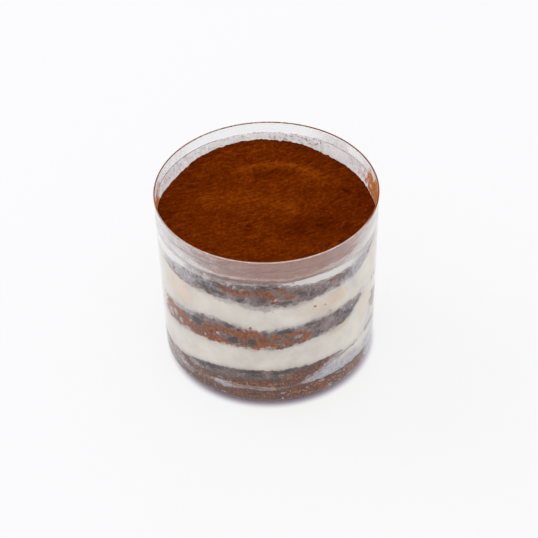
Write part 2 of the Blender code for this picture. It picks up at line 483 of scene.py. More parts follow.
@dataclass(frozen=True)
class WallFilm:
    """What clings to the bare wall: a pale bloom of condensation, and cocoa caught in it; on the lip its pale part is
    a painted highlight.
    """

    pale: str = "#f8f5f7"
    warm: str = "#c2a091"
    mauve: str = "#937673"
    cocoa: str = "#b45606"
    tan: str = "#eca463"
    drop_mm: float = 0.4

    def build(self) -> bpy.types.Material:
        """Makes the material."""
        material = bpy.data.materials.new("condensation_highlight_and_cocoa_dust")
        material.use_nodes = True
        tree = material.node_tree
        shader = tree.nodes["Principled BSDF"]
        place = add(tree, "ShaderNodeTexCoord").outputs["Object"]
        drops = add(tree, "ShaderNodeTexNoise", {"Vector": place, "Scale": 0.5 / (self.drop_mm * MM),
                                                 "Detail": 2.0})
        mist = add(tree, "ShaderNodeAttribute", attribute_name=Mask.MIST.value).outputs["Fac"]
        warm = add(tree, "ShaderNodeAttribute", attribute_name=Mask.WARM.value).outputs["Fac"]
        dust = add(tree, "ShaderNodeAttribute", attribute_name=Mask.DUST.value).outputs["Fac"]
        fine = add(tree, "ShaderNodeMapRange", {"Value": drops.outputs["Fac"], "From Min": 0.3,
                                                "From Max": 0.7, "To Min": 0.8, "To Max": 1.2})
        bloom = add(tree, "ShaderNodeMath", {0: fine.outputs["Result"], 1: mist}, operation="MULTIPLY")
        specks = add(tree, "ShaderNodeMath", {0: dust, 1: drops.outputs["Fac"]}, operation="ADD")
        caught = add(tree, "ShaderNodeMapRange", {"Value": specks.outputs[0], "From Min": 0.85,
                                                  "From Max": 1.15})
        fleck = add(tree, "ShaderNodeAttribute", attribute_name=Mask.FLECK.value).outputs["Fac"]
        dots = add(tree, "ShaderNodeTexNoise", {"Vector": place, "Scale": 0.5 / (self.drop_mm * MM),
                                                "Detail": 1.0})
        strewn = add(tree, "ShaderNodeMath", {0: fleck, 1: dots.outputs["Fac"]}, operation="ADD")
        present = add(tree, "ShaderNodeMapRange", {"Value": fleck, "From Min": 0.01, "From Max": 0.05,
                                                   "To Max": 0.8})
        flecks = add(tree, "ShaderNodeMapRange", {"Value": strewn.outputs[0], "From Min": 0.69,
                                                  "From Max": 0.79, "To Max": present.outputs["Result"]})
        colour = add(tree, "ShaderNodeMix", {"Factor": flecks.outputs["Result"], "A": linear(self.pale),
                                             "B": linear(self.mauve)}, data_type="RGBA")
        colour = add(tree, "ShaderNodeMix", {"Factor": warm, "A": colour.outputs["Result"],
                                             "B": linear(self.warm)}, data_type="RGBA")
        grain = add(tree, "ShaderNodeTexNoise", {"Vector": place, "Scale": 0.7 / (self.drop_mm * MM),
                                                 "Detail": 2.0})
        dry = add(tree, "ShaderNodeMapRange", {"Value": grain.outputs["Fac"], "From Min": 0.4, "From Max": 0.6})
        powder = add(tree, "ShaderNodeMix", {"Factor": dry.outputs["Result"], "A": linear(self.cocoa),
                                             "B": linear(self.tan)}, data_type="RGBA")
        colour = add(tree, "ShaderNodeMix", {"Factor": caught.outputs["Result"],
                                             "A": colour.outputs["Result"], "B": powder.outputs["Result"]},
                     data_type="RGBA")
        lying = add(tree, "ShaderNodeMath", {0: caught.outputs["Result"], 1: flecks.outputs["Result"]},
                    operation="MAXIMUM")
        thick = add(tree, "ShaderNodeMath", {0: lying.outputs[0], 1: 0.92}, operation="MULTIPLY")
        alpha = add(tree, "ShaderNodeMath", {0: bloom.outputs[0], 1: thick.outputs[0]}, operation="MAXIMUM")
        tree.links.new(colour.outputs["Result"], shader.inputs["Base Color"])
        tree.links.new(alpha.outputs[0], shader.inputs["Alpha"])
        shader.inputs["Roughness"].default_value = 0.9
        shader.inputs["Specular IOR Level"].default_value = 0.1
        return material


@dataclass(frozen=True)
class LitTable:
    """A white table that glows evenly, which keeps real shadows faint; under the cup its glow fades to mauve, a
    painted contact shadow.
    """

    painted_shadow_radius: float
    # lilac, so that the painted shadow turns mauve where the glow is weakest
    colour: str = "#83798a"
    open_glow: str = "#f6faf4"
    painted_shadow_hue: str = "#fdf2fb"
    glow: float = 0.825
    painted_shadow_glow: float = 0.135
    fade: float = 4.3 * MM
    lean: tuple[float, float, float] = (0.5 * MM, -0.5 * MM, 0.0)  # the painted shadow lies a little to the right

    def build(self) -> bpy.types.Material:
        """Makes the material."""
        material = bpy.data.materials.new("glowing_table_with_painted_shadow")
        material.use_nodes = True
        tree = material.node_tree
        shader = tree.nodes["Principled BSDF"]
        place = add(tree, "ShaderNodeTexCoord")
        from_middle = add(tree, "ShaderNodeVectorMath", {0: place.outputs["Object"], 1: self.lean},
                          operation="SUBTRACT")
        reach = add(tree, "ShaderNodeVectorMath", {0: from_middle.outputs["Vector"]}, operation="LENGTH")
        # painted contact shadow: the glow is weakest under the cup and rises towards the open table
        glow = add(tree, "ShaderNodeMapRange", {"Value": reach.outputs["Value"], "From Min": self.painted_shadow_radius,
                                                "From Max": self.painted_shadow_radius + self.fade, "To Min": self.painted_shadow_glow,
                                                "To Max": self.glow},
                   interpolation_type="SMOOTHSTEP")
        tree.links.new(glow.outputs["Result"], shader.inputs["Emission Strength"])
        shader.inputs["Base Color"].default_value = linear(self.colour)
        opened = add(tree, "ShaderNodeMapRange", {"Value": glow.outputs["Result"], "From Min": self.painted_shadow_glow,
                                                  "From Max": self.glow})
        hue = add(tree, "ShaderNodeMix", {"Factor": opened.outputs["Result"], "A": linear(self.painted_shadow_hue),
                                          "B": linear(self.open_glow)}, data_type="RGBA")
        tree.links.new(hue.outputs["Result"], shader.inputs["Emission Color"])
        shader.inputs["Roughness"].default_value = 0.9
        shader.inputs["Specular IOR Level"].default_value = 0.0
        return material


# ---------------------------------------------------------------- studio


@dataclass(frozen=True)
class Studio:
    """Floor, soft light and camera."""

    form: CupForm
    elevation: float = 41.0
    roll: float = 1.37
    distance_in_radii: float = 18.0
    lens_mm: float = 131.9
    sensor_mm: float = 36.0
    aim_right: float = 0.31 * MM
    aim_down: float = 1.95 * MM
    floor_half: float = 3.0
    horizon: float = 1.25
    zenith: float = 0.62
    key_power: float = 1.9

    def build(self) -> None:
        """Makes the studio."""
        self.floor()
        self.lights()
        self.camera()

    def floor(self) -> None:
        """A wide flat sweep just under the cup."""
        half = self.floor_half
        points = np.array([[-half, -half, 0], [half, -half, 0], [half, half, 0], [-half, half, 0]], float)
        # the table's painted shadow reaches 0.918 of the foot's radius before its glow rises
        make_piece("floor", points, [[0, 1, 2, 3]], LitTable(0.918 * float(self.form.outer(0.0))).build())

    def lights(self) -> None:
        """An even white sky and one large softbox, high at the back left."""
        world = bpy.data.worlds.new("soft_sky")
        world.use_nodes = True
        tree = world.node_tree
        heading = add(tree, "ShaderNodeTexCoord")
        rise = add(tree, "ShaderNodeSeparateXYZ", {0: heading.outputs["Generated"]})
        strength = add(tree, "ShaderNodeMapRange", {"Value": rise.outputs["Z"], "From Min": 0.35, "From Max": 0.75,
                                                    "To Min": self.horizon, "To Max": self.zenith})
        tree.links.new(strength.outputs["Result"], tree.nodes["Background"].inputs["Strength"])
        tree.nodes["Background"].inputs["Color"].default_value = (1.0, 1.0, 1.0, 1.0)
        bpy.context.scene.world = world
        box = bpy.data.lights.new("softbox", "AREA")
        box.shape = "DISK"
        box.size = 0.6
        box.energy = self.key_power
        lamp = bpy.data.objects.new("softbox", box)
        lamp.location = (-0.75, 0.35, 0.78)
        aim = Vector((0, 0, self.form.height / 2)) - Vector(lamp.location)
        lamp.rotation_euler = aim.to_track_quat("-Z", "Y").to_euler()
        bpy.context.scene.collection.objects.link(lamp)

    def camera(self) -> None:
        """A long lens that looks down on the cup from the front."""
        tilt = math.radians(self.elevation)
        back = Vector((0, -math.cos(tilt), math.sin(tilt)))
        up = Vector((0, math.sin(tilt), math.cos(tilt)))
        right = Vector((1, 0, 0))
        target = Vector((0, 0, self.form.height / 2)) + right * self.aim_right - up * self.aim_down
        place = target + back * self.distance_in_radii * self.form.rim_radius
        data = bpy.data.cameras.new("camera")
        data.lens = self.lens_mm
        data.sensor_width = self.sensor_mm
        camera = bpy.data.objects.new("camera", data)
        turn = Matrix((right, up, back)).transposed().to_4x4()
        camera.matrix_world = (Matrix.Translation(place) @ turn
                               @ Matrix.Rotation(math.radians(-self.roll), 4, "Z"))
        bpy.context.scene.collection.objects.link(camera)
        bpy.context.scene.camera = camera
        bpy.context.scene.view_settings.view_transform = "Standard"
        bpy.context.scene.cycles.blur_glossy = 0.0  # light keeps its straight way through the thin wall


# ---------------------------------------------------------------- the cup


@dataclass(frozen=True)
class TurnedShell:
    """A closed profile turned round the axis by Geometry Nodes, with rounded corners where it asks for them."""

    name: str
    profile: tuple[tuple[float, float, float], ...]  # radius, height and corner radius, in metres
    steps: int = 256
    corner_steps: int = 8
    pivot: float = 10 * MM

    def tree(self) -> bpy.types.NodeTree:
        """The node tree, with its sizes as inputs."""
        tree = bpy.data.node_groups.new(self.name + "_turning", "GeometryNodeTree")
        face = tree.interface
        face.new_socket("Profile", in_out="INPUT", socket_type="NodeSocketGeometry")
        for label, kind in (("Steps", "NodeSocketInt"), ("Corner Steps", "NodeSocketInt"),
                            ("Pivot Radius", "NodeSocketFloat"), ("Material", "NodeSocketMaterial")):
            face.new_socket(label, in_out="INPUT", socket_type=kind)
        face.new_socket("Shell", in_out="OUTPUT", socket_type="NodeSocketGeometry")
        given = add(tree, "NodeGroupInput").outputs
        corner = add(tree, "GeometryNodeInputNamedAttribute", {"Name": "corner"}, data_type="FLOAT")
        line = add(tree, "GeometryNodeMeshToCurve", {"Mesh": given["Profile"]})
        rounded = add(tree, "GeometryNodeFilletCurve",
                      {"Curve": line.outputs[0], "Count": given["Corner Steps"],
                       "Radius": corner.outputs["Attribute"], "Limit Radius": True}, mode="POLY")
        circle = add(tree, "GeometryNodeCurvePrimitiveCircle",
                     {"Resolution": given["Steps"], "Radius": given["Pivot Radius"]})
        upright = add(tree, "GeometryNodeSetCurveNormal", {"Curve": circle.outputs["Curve"]}, mode="Z_UP")
        turned = add(tree, "GeometryNodeCurveToMesh",
                     {"Curve": upright.outputs[0], "Profile Curve": rounded.outputs[0]})
        closed = add(tree, "GeometryNodeMergeByDistance", {"Geometry": turned.outputs[0], "Distance": 0.002 * MM})
        soft = add(tree, "GeometryNodeSetShadeSmooth", {"Geometry": closed.outputs[0]})
        real = add(tree, "GeometryNodeRealizeInstances", {"Geometry": soft.outputs[0]})
        dressed = add(tree, "GeometryNodeSetMaterial",
                      {"Geometry": real.outputs[0], "Material": given["Material"]})
        add(tree, "NodeGroupOutput", {"Shell": dressed.outputs[0]})
        return tree

    def build(self, material: bpy.types.Material) -> bpy.types.Object:
        """Turns the profile.

        Args:
            material: The shell's material.

        Returns:
            The finished piece.
        """
        mesh = bpy.data.meshes.new(self.name + "_profile")
        count = len(self.profile)
        mesh.from_pydata([(r - self.pivot, -z, 0.0) for r, z, _ in self.profile],
                         [(i, i + 1) for i in range(count - 1)], [])
        mesh.attributes.new("corner", "FLOAT", "POINT").data.foreach_set(
            "value", np.array([corner for _, _, corner in self.profile], np.float32))
        return solid_from(mesh, self.name, self.tree(), material,
                          {"Steps": self.steps, "Corner Steps": self.corner_steps, "Pivot Radius": self.pivot,
                           "Material": material})


def solid_from(mesh: bpy.types.Mesh, name: str, tree: bpy.types.NodeTree, material: bpy.types.Material,
               values: dict[str, Any]) -> bpy.types.Object:
    """Runs a Geometry Nodes tree on a mesh and keeps the result as a plain mesh.

    Args:
        mesh: The mesh that the tree starts from.
        name: The finished piece's name.
        tree: The tree.
        material: The finished piece's only material.
        values: The tree's inputs, by name.

    Returns:
        The finished piece, with no modifier left on it.
    """
    source = bpy.data.objects.new(name + "_source", mesh)
    bpy.context.scene.collection.objects.link(source)
    modifier = source.modifiers.new("grow", "NODES")
    modifier.node_group = tree
    for item in tree.interface.items_tree:
        if item.in_out == "INPUT" and item.name in values:
            modifier[item.identifier] = values[item.name]
    bpy.context.view_layer.update()
    graph = bpy.context.evaluated_depsgraph_get()
    made = bpy.data.meshes.new_from_object(source.evaluated_get(graph), depsgraph=graph)
    bpy.data.objects.remove(source)
    made.name = name
    made.materials.clear()
    made.materials.append(material)
    piece = bpy.data.objects.new(name, made)
    bpy.context.scene.collection.objects.link(piece)
    return piece


@dataclass(frozen=True)
class Cup:
    """The clear cup."""

    form: CupForm

    def profile(self) -> tuple[tuple[float, float, float], ...]:
        """The cup's outline, from the middle of the floor up the inside and down the outside."""
        form = self.form
        lip = (form.wall - form.ledge_step) * 0.49
        rim, top = form.rim_radius - form.shrink, form.height - form.shrink
        inside_foot = float(form.outer(0.0)) - form.wall
        step = (form.ledge - 0.05 * MM, form.ledge, form.ledge + form.ledge_rise,
                form.ledge + form.ledge_rise + 0.05 * MM)
        inside = (form.corner + 0.5 * MM, *step, top - 2 * lip)
        outside = (top - 2 * lip, form.corner + 0.8 * MM)
        return (
            (0.0, form.floor, 0.0),
            (inside_foot, form.floor, form.corner - form.wall),
            *((float(form.bare(z)), z, 0.0) for z in inside),
            (rim - form.wall + form.ledge_step, top, lip),
            (rim, top, lip),
            *((float(form.outer(z)) - form.shrink, z, 0.0) for z in outside),
            (float(form.outer(0.0)), 0.0, form.corner),
            (form.recess_radius, 0.0, 0.4 * MM),
            (form.recess_radius - form.recess_slope, form.recess_depth, 0.8 * MM),
            (0.0, form.recess_depth, 0.0),
        )

    def build(self) -> None:
        """Makes the cup."""
        piece = TurnedShell("clear_cup", self.profile()).build(ClearPlastic().build())
        fit(piece, Slot.PLASTIC, "cup")


# ---------------------------------------------------------------- the filling


@dataclass(frozen=True)
class Patch:
    """A blotch on the wall: its middle, half its width in degrees, half its height in mm, and its strength."""

    azimuth: float
    height_mm: float
    half_width: float
    half_height_mm: float
    strength: float = 1.0
    level: Level = Level.FLOOR


@dataclass(frozen=True)
class LayerLook:
    """How one layer looks at the wall."""

    node: str
    food: Optional[Food]  # None for the cocoa, which has a form of its own
    patches: dict[Mask, tuple[Patch, ...]]
    crumble_mm: float = 0.35  # how ragged its top seam is
    pinch_mm: float = 0.0  # where it is thinner than this, cream is smeared over it
    bleed: float = 1.0  # how softly it runs into its neighbours along its seams


def blotches(patches: tuple[Patch, ...], azimuth: np.ndarray, heights_mm: dict[Level, np.ndarray],
             rough: np.ndarray) -> np.ndarray:
    """How strongly a set of blotches covers each point.

    Args:
        patches: The blotches.
        azimuth: The points' azimuths, in degrees.
        heights_mm: Their heights above each level, in mm.
        rough: Noise that makes the blotches' outlines ragged.

    Returns:
        A value from 0 to 1 for each point.
    """
    total = np.zeros_like(azimuth)
    for patch in patches:
        away = (azimuth - patch.azimuth + 180) % 360 - 180
        span = np.hypot(away / patch.half_width,
                        (heights_mm[patch.level] - patch.height_mm) / patch.half_height_mm)
        total = np.maximum(total, patch.strength * smooth(1.3, 0.55, span + 0.6 * rough))
    return total


class Seams:
    """The surfaces between the layers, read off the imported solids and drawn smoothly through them."""

    STATIONS = 48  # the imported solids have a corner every 7.5 degrees
    SHARES = (0.0, 0.34, 0.67, 0.985)

    def __init__(self, nodes: dict[str, bpy.types.Object], order: tuple[str, ...], form: CupForm) -> None:
        """Reads every seam.

        Args:
            nodes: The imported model's objects by name.
            order: The layers' names from the bottom up.
            form: The cup's sizes.
        """
        self.form = form
        tops, undersides = [], []
        for name in order:
            mesh = nodes[name].data
            solid = BVHTree.FromPolygons([v.co for v in mesh.vertices], [p.vertices for p in mesh.polygons])
            tops.append(self.sample(solid, -1.0))
            undersides.append(self.sample(solid, 1.0))
        self.grids = [np.full_like(tops[0], form.floor)]
        self.grids += [(top + underside) / 2 for top, underside in zip(tops, undersides[1:])]
        self.grids.append(tops[-1])

    def sample(self, solid: BVHTree, heading: float) -> np.ndarray:
        """Reads a solid's top or underside.

        Args:
            solid: The solid.
            heading: -1 for rays that go down and meet its top, 1 for rays that go up to its underside.

        Returns:
            Heights, ring by ring from the axis out and station by station.
        """
        start = 2 * self.form.height if heading < 0 else -self.form.height
        grid = np.zeros((len(self.SHARES), self.STATIONS))
        for ring, share in enumerate(self.SHARES):
            for station in range(self.STATIONS):
                turn = 2 * math.pi * station / self.STATIONS
                radius = share * float(self.form.inner(2 * self.form.corner)) + 0.01 * MM
                place = Vector((radius * math.sin(turn), -radius * math.cos(turn), start))
                grid[ring, station] = solid.ray_cast(place, Vector((0, 0, heading)))[0].z
        return grid

    def height(self, seam: int, share: np.ndarray, azimuth: np.ndarray) -> np.ndarray:
        """A seam's height.

        Args:
            seam: Which seam, 0 for the cup's floor.
            share: How far out each point is, 0 at the axis and 1 at the wall.
            azimuth: The points' azimuths, in degrees.

        Returns:
            Heights in metres.
        """
        grid = self.grids[seam]
        place = (azimuth % 360) / 360 * self.STATIONS
        before = np.floor(place).astype(int)
        t = place - before
        a, b, c, d = (grid[:, (before + offset) % self.STATIONS] for offset in (-1, 0, 1, 2))
        curve = b + 0.5 * t * (c - a + t * (2 * a - 5 * b + 4 * c - d + t * (3 * (b - c) + d - a)))
        share = np.clip(share, 0, self.SHARES[-1])
        result = np.zeros_like(place)
        for ring in range(len(self.SHARES) - 1):
            low, high = self.SHARES[ring], self.SHARES[ring + 1]
            mix = (share - low) / (high - low)
            result = np.where((share >= low) & (share <= high), curve[ring] * (1 - mix) + curve[ring + 1] * mix,
                              result)
        return result


@dataclass(frozen=True)
class Filling:
    """The layers, each a closed piece whose side presses against the cup."""

    form: CupForm
    seams: Seams
    looks: tuple[LayerLook, ...]
    columns: int = 880
    row_mm: float = 0.42
    bite_mm: float = 0.14  # how far the filling reaches into the wall, so that no air shows between them
    least_mm: float = 0.2

    def wall_heights(self) -> np.ndarray:
        """The seams' ragged heights at the wall, seam by seam and column by column, kept in order."""
        azimuth = np.arange(self.columns) * 360 / self.columns
        rows: list[np.ndarray] = []
        for seam in range(len(self.looks) + 1):
            line = self.seams.height(seam, np.ones_like(azimuth), azimuth)
            if 0 < seam < len(self.looks):
                ragged = self.looks[seam - 1].crumble_mm * MM
                spots = around(azimuth, self.form.inner(line), line)
                scallops = 1 - 2 * np.abs(noise_at(spots, 3.4 * MM, 2, seam))
                line = line + ragged * (0.9 * scallops - 0.5 + 1.1 * noise_at(spots, 1.3 * MM, 2, seam + 20))
            if rows:
                line = np.maximum(line, rows[-1] + self.least_mm * MM)
            rows.append(line)
        return np.array(rows)

    def build(self) -> np.ndarray:
        """Makes every layer but the cocoa.

        Returns:
            The seams' heights at the wall.
        """
        heights = self.wall_heights()
        foods = {look.food.name: look.food for look in self.looks if look.food}
        materials = {name: food.build() for name, food in foods.items()}
        for index, look in enumerate(self.looks):
            if look.food:
                self.layer(index, heights, materials[look.food.name])
        return heights

    def pinched(self, index: int, heights: np.ndarray) -> np.ndarray:
        """How far a layer is smeared over with cream because it is thin, 0 to 1, column by column.

        Args:
            index: Which layer, from the bottom.
            heights: The seams' heights at the wall.

        Returns:
            The shares; 0 for layers that no cream is smeared over.
        """
        if not 0 <= index < len(self.looks) or not self.looks[index].pinch_mm:
            return np.zeros(self.columns)
        pinch = self.looks[index].pinch_mm
        return smooth(pinch, pinch / 2, (heights[index + 1] - heights[index]) / MM)

    def layer(self, index: int, heights: np.ndarray, material: bpy.types.Material) -> None:
        """Makes one layer: rings of vertices across its underside, up the wall and back over its top.

        Args:
            index: Which layer, from the bottom.
            heights: The seams' heights at the wall.
            material: Its material.
        """
        look = self.looks[index]
        underside, top = heights[index], heights[index + 1]
        azimuth = np.arange(self.columns) * 360 / self.columns
        rows = max(2, math.ceil((top - underside).max() / (self.row_mm * MM)))
        shares = np.linspace(0, 1, rows + 1)[:, None]
        wall_z = underside + (top - underside) * shares
        radius = self.form.inner(wall_z)
        touch = around(np.broadcast_to(azimuth, wall_z.shape), radius, wall_z).reshape(-1, 3)
        coarse = noise_at(touch, 1.5 * MM, 3, 40 + index)
        masks = self.masks(index, touch, np.tile(azimuth, rows + 1), wall_z, heights, coarse)
        sink = self.relief(look, masks, coarse).reshape(wall_z.shape) * np.clip(8 * shares * (1 - shares), 0, 1)
        wall = around(np.broadcast_to(azimuth, wall_z.shape), radius + self.bite_mm * MM - sink, wall_z)

        def cap(seam: int, outer: np.ndarray, share: float, lift_mm: float) -> np.ndarray:
            """One ring of a cap."""
            inside = self.seams.height(seam, np.full_like(azimuth, share), azimuth)
            return around(azimuth, share * self.form.inner(outer), outer * share**6 + inside * (1 - share**6)
                          + lift_mm * MM)

        under = [cap(index, underside, share, 0.05) for share in (0.002, 0.5, 0.93)]
        over = [cap(index + 1, top, share, -0.05) for share in (0.93, 0.5, 0.002)]
        rings = under + list(wall) + over
        count = self.columns
        points = np.concatenate(rings + [under[0].mean(axis=0, keepdims=True), over[-1].mean(axis=0, keepdims=True)])
        faces = []
        for ring in range(len(rings) - 1):
            faces += ring_faces(ring * count, (ring + 1) * count, count)
        last, low_pole, high_pole = (len(rings) - 1) * count, len(points) - 2, len(points) - 1
        faces += [[low_pole, (i + 1) % count, i] for i in range(count)]
        faces += [[last + i, last + (i + 1) % count, high_pole] for i in range(count)]
        full = {}
        for mask, values in masks.items():
            spread = np.zeros(len(points))
            spread[len(under) * count:len(under) * count + len(values)] = values
            full[mask] = spread
        fit(make_piece(look.node + "_fill", points, faces, material, full), look.food.slot, look.node)

    def masks(self, index: int, touch: np.ndarray, azimuth: np.ndarray, wall_z: np.ndarray,
              heights: np.ndarray, coarse: np.ndarray) -> dict[Mask, np.ndarray]:
        """What the layer's material needs to know at each point of the wall.

        Args:
            index: Which layer.
            touch: The points.
            azimuth: Their azimuths, in degrees.
            wall_z: Their heights, row by row and column by column.
            heights: The seams' heights at the wall.
            coarse: The noise that also shapes the relief.

        Returns:
            Values for each mask.
        """
        look = self.looks[index]
        rise, drop = wall_z - heights[index], heights[index + 1] - wall_z
        levels = {Level.FLOOR: wall_z.ravel() / MM, Level.UNDERSIDE: rise.ravel() / MM,
                  Level.TOP: -drop.ravel() / MM}
        fine = 0.4 * coarse + 0.35 * noise_at(touch, 0.8 * MM, 2, 55 + index)
        found = {}
        for number, (mask, patches) in enumerate(look.patches.items()):
            rough = fine + 0.5 * noise_at(touch, 2.4 * MM, 3, 60 + 7 * index + number)
            found[mask] = blotches(patches, azimuth, levels, rough)
        if look.food.slot is Slot.SPONGE:
            thin = np.broadcast_to(self.pinched(index, heights), wall_z.shape).ravel()
            cloud = noise_at(touch, 3.5 * MM, 3, 90 + index)
            nearest = np.minimum(rise, drop).ravel() / MM
            smeared = 0.5 * look.bleed * smooth(1.3, 0.0, nearest + 1.8 * cloud) * (1 - found.get(Mask.HOLLOW_SHADE, 0.0))
            found[Mask.SMEAR] = np.maximum.reduce([found.get(Mask.SMEAR, 0.0 * thin), thin, smeared])
        else:
            cloud = 1.2 * noise_at(touch, 5 * MM, 2, 90 + index)
            low = smooth(1.7, 0.0, rise.ravel() / MM + cloud).reshape(rise.shape) * (1 - self.pinched(index - 1, heights))
            high = smooth(1.7, 0.0, drop.ravel() / MM + cloud).reshape(rise.shape) * (1 - self.pinched(index + 1, heights))
            bled = 0.6 * look.bleed * np.maximum(low, high).ravel()
            found[Mask.EDGE] = np.maximum(found.get(Mask.EDGE, 0.0 * bled), bled)
        return found

    def relief(self, look: LayerLook, masks: dict[Mask, np.ndarray], coarse: np.ndarray) -> np.ndarray:
        """How far each point of the wall stands back from the plastic.

        Args:
            look: The layer.
            masks: Its masks.
            coarse: Noise with the size of the crumb.

        Returns:
            Depths in metres: pits in the sponge, nothing in cream.
        """
        if look.food.slot is not Slot.SPONGE:
            return np.zeros_like(coarse)
        dry = (1 - masks.get(Mask.HOLLOW_SHADE, 0.0)) * (1 - masks.get(Mask.WET, 0.0))
        return smooth(0.3, 0.8, coarse) * dry * 0.4 * MM


@dataclass(frozen=True)
class Ridge:
    """A drift of cocoa along a line of points, in mm to the right and to the back of the axis."""

    line: tuple[tuple[float, float], ...]
    height_mm: float
    half_width_mm: float


@dataclass(frozen=True)
class CocoaTop:
    """The cocoa: a dense grid over the mounded surface, closed by its edge against the wall and its underside."""

    form: CupForm
    seams: Seams
    ridges: tuple[Ridge, ...]
    node: str = "cocoa"
    cells: int = 270
    bite_mm: float = 0.14

    def disc(self, cells: int) -> tuple[np.ndarray, np.ndarray]:
        """A square grid bent to a disc.

        Args:
            cells: How many cells it has each way.

        Returns:
            Each point's share of the way out, and its azimuth in degrees.
        """
        line = np.linspace(-1, 1, cells + 1)
        a, b = np.meshgrid(line, line, indexing="xy")
        wide = np.abs(a) >= np.abs(b)
        long_side = np.where(wide, a, b)
        ratio = np.where(wide, b, a) / np.where(long_side == 0, 1, long_side)
        angle = np.where(wide, ratio, 2 - ratio) * math.pi / 4
        x = long_side * np.cos(angle)
        y = long_side * np.sin(angle)
        return np.hypot(x, y), np.degrees(np.arctan2(x, -y))

    def drift(self, points: np.ndarray) -> np.ndarray:
        """The height that the ridges add at each point, in mm."""
        place = points[:, :2] / MM
        total = np.zeros(len(place))
        for ridge in self.ridges:
            nearest = np.full(len(place), np.inf)
            for start, end in zip(ridge.line, ridge.line[1:]):
                begin, step = np.array(start), np.subtract(end, start)
                along = np.clip(((place - begin) @ step) / (step @ step), 0, 1)
                nearest = np.minimum(nearest, np.hypot(*(place - begin - along[:, None] * step).T))
            total += ridge.height_mm * np.exp(-(nearest / ridge.half_width_mm) ** 2)
        return total

    def surface(self, cells: int) -> tuple[np.ndarray, np.ndarray]:
        """The cocoa's top.

        Args:
            cells: How fine the grid is.

        Returns:
            Its points, and its painted light: how much lighter each is coloured on a drift's crest and darker in a
                dip, about -0.5 to 0.5.
        """
        share, azimuth = (values.ravel() for values in self.disc(cells))
        base = self.seams.height(len(self.seams.grids) - 1, share, azimuth)
        points = around(azimuth, share * (self.form.inner(base) + self.bite_mm * MM), base)
        lean = np.radians(12 + 25 * smooth(-20 * MM, 25 * MM, points[:, 0]))
        along = points[:, 0] * np.cos(lean) + points[:, 1] * np.sin(lean)
        across = points[:, 1] * np.cos(lean) - points[:, 0] * np.sin(lean)
        ripples = np.stack([along / 3.6, across, 0 * along], axis=-1)
        drift = noise_at(points, 10 * MM, 2, 1)
        swept = noise_at(ripples, 1.3 * MM, 3, 2)
        clumps = noise_at(points, 0.8 * MM, 2, 3)
        edge = smooth(0.93, 1.0, share)
        points[:, 2] += MM * (self.drift(points) * (1 - edge) + 0.4 * drift * (1 - edge)
                              + 0.22 * swept * (1 - 0.5 * edge) + 0.14 * clumps
                              + 0.5 * edge * noise_at(points, 1.6 * MM, 2, 4))
        # the painted light follows the height of the ripples, clumps and drifts
        return points, 0.25 * swept + 0.10 * clumps + 0.06 * drift + 0.42 * self.drift(points)

    def build(self, material: bpy.types.Material, under: np.ndarray) -> bpy.types.Object:
        """Makes the cocoa.

        Args:
            material: Its material.
            under: The height of the seam under it at the wall, column by column.

        Returns:
            The piece.
        """
        top, crest_light = self.surface(self.cells)
        side = self.cells + 1
        grid = np.arange(side * side).reshape(side, side)
        faces = np.stack([grid[:-1, :-1], grid[:-1, 1:], grid[1:, 1:], grid[1:, :-1]], -1).reshape(-1, 4).tolist()
        edge = np.concatenate([grid[0, :-1], grid[:-1, -1], grid[-1, :0:-1], grid[:0:-1, 0]])
        azimuth = np.degrees(np.arctan2(top[edge, 0], -top[edge, 1])) % 360
        columns = len(under)
        under_z = np.interp(azimuth, np.arange(columns + 1) * 360 / columns, np.append(under, under[0]))
        collar = top[edge] - np.array([0.0, 0.0, 0.02 * MM])
        brow_z = np.maximum(top[edge, 2] - 0.25 * MM, under_z + 0.1 * MM)
        brow = around(azimuth, self.form.inner(brow_z) + self.bite_mm * MM, brow_z)
        foot = around(azimuth, self.form.inner(under_z) + self.bite_mm * MM, under_z)
        points = np.concatenate([top, collar, brow, foot, [[0.0, 0.0, float(under_z.mean())]]])
        first, count = len(top), len(edge)
        for i in range(count):
            j = (i + 1) % count
            faces.append([int(edge[j]), int(edge[i]), first + i, first + j])
            for ring in (first, first + count):
                faces.append([ring + j, ring + i, ring + count + i, ring + count + j])
            faces.append([first + 2 * count + j, first + 2 * count + i, first + 3 * count])
        facing = smooth(76, 52, np.abs(np.degrees(np.arctan2(points[:, 0], -points[:, 1]))))
        veil = 0.9 * facing * smooth(0.955, 0.995, np.hypot(points[:, 0], points[:, 1]) / np.hypot(*top[edge[0], :2]))
        veil[first:first + 3 * count] = 0.95
        veil[edge] = 0.95 * facing[edge]  # the powder's very edge, pressed against the wall
        masks = {Mask.MIST: veil, Mask.CREST_LIGHT: np.append(crest_light, np.zeros(3 * count + 1)),
                 Mask.WARM: smooth(50, 22, np.abs(np.degrees(np.arctan2(points[:, 0], -points[:, 1]))))}
        piece = make_piece("cocoa_fill", points, faces, material, masks)
        fit(piece, Slot.COCOA, self.node)
        return piece


# ---------------------------------------------------------------- mist, dust and crumbs


